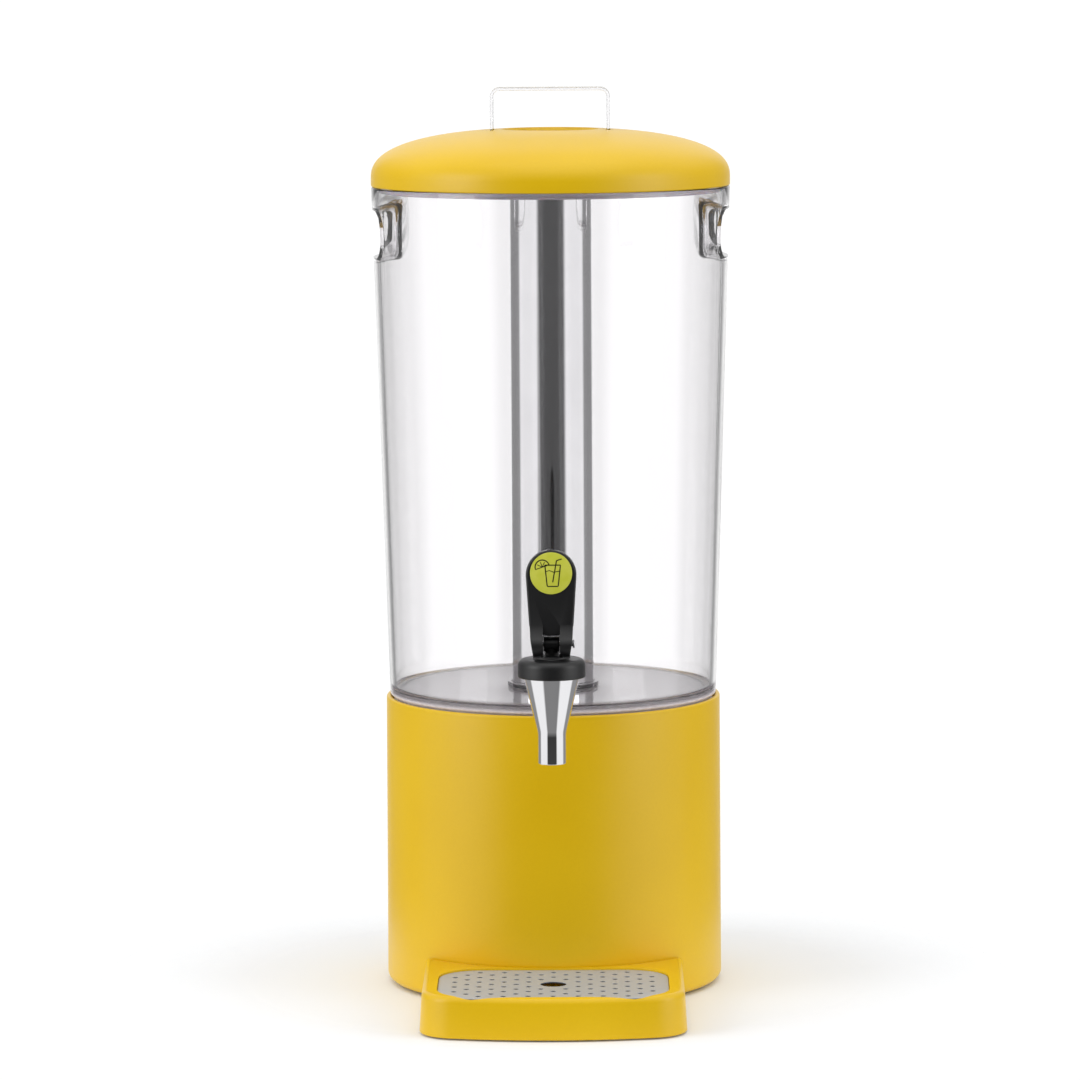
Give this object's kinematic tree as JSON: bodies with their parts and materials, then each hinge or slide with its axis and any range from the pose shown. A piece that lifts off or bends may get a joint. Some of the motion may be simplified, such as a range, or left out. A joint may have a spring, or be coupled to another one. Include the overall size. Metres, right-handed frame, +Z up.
{
  "type": "beverage dispenser",
  "caption": "Unpowered drink dispenser: round base, clear tapered tank with finger pockets, central ice tube, domed lid with strap handle, self-closing tap and lift-out drip tray grille.",
  "frame": {"origin": "on the tank's axis at table level, in the middle of the anti-slip pad's underside", "axes": "+Z up along the tank's axis, -Y towards the user, where the tap and the drip tray are, +X to the user's right"},
  "size_m": [0.2304, 0.3262, 0.5785],
  "materials": {
    "yellow_plastic": "satin moulded, fine texture",
    "steel_sheet": "brushed stainless sheet",
    "polished_steel": "bright polished stainless",
    "fastener_steel": "plain stainless",
    "black_plastic": "satin moulded",
    "black_rubber": "matt",
    "silicone": "translucent food-grade silicone",
    "clear_plastic": "clear, glossy",
    "chrome": "bright plated",
    "badge_print": "printed label under gloss"
  },
  "bodies": {
    "base": {"base_shell": "yellow_plastic", "deck_plate": "steel_sheet", "base_floor": "black_plastic", "floor_screws": "fastener_steel", "base_pad": "black_rubber"},
    "tray": {"drip_tray": "yellow_plastic", "tray_feet": "black_rubber"},
    "grille": {"drip_grille": "steel_sheet"},
    "tank": {"tank": "clear_plastic", "tap_body": "chrome", "tap_bonnet": "black_plastic", "outer_washer": "silicone", "inner_washer": "silicone", "shank_nut": "black_plastic", "seat_cup": "silicone", "tap_spring": "fastener_steel"},
    "stem": {"tap_stem": "black_plastic", "pivot_pin": "fastener_steel"},
    "handle": {"tap_handle": "black_plastic", "handle_badge": "badge_print"},
    "ice_tube": {"ice_tube": "polished_steel", "tube_end": "polished_steel", "tube_foot": "black_rubber"},
    "lid": {"lid_shell": "yellow_plastic", "lid_seal": "silicone", "lid_handle": "clear_plastic", "handle_screws": "fastener_steel"}
  },
  "joints": [
    {"name": "tank_lift", "type": "slide", "parent": "base", "child": "tank", "axis": [0, 0, 1], "range_m": [0, 0.2]},
    {"name": "ice_tube_lift", "type": "slide", "parent": "tank", "child": "ice_tube", "axis": [0, 0, 1], "range_m": [0, 0.36]},
    {"name": "lid_lift", "type": "slide", "parent": "ice_tube", "child": "lid", "axis": [0, 0, 1], "range_m": [0, 0.15]},
    {"name": "stem_lift", "type": "slide", "parent": "tank", "child": "stem", "axis": [0, 0, 1], "range_m": [0, 0.0042], "deforming": ["tap_spring", "seat_cup"]},
    {"name": "handle_tilt", "type": "hinge", "parent": "stem", "child": "handle", "pos_m": [0, -0.157, 0.2395], "axis": [1, 0, 0], "range_deg": [0, 30], "stiffness_Nm_per_rad": 0.05, "springref_deg": -17.19},
    {"name": "tray_slide", "type": "slide", "parent": "base", "child": "tray", "axis": [0, -1, 0], "range_m": [0, 0.15]},
    {"name": "grille_lift", "type": "slide", "parent": "tray", "child": "grille", "axis": [0, 0, 1], "range_m": [0, 0.05]}
  ],
  "couplings": [
    {"joint": "stem_lift", "follows": "handle_tilt", "m_per_rad": 0.008}
  ]
}
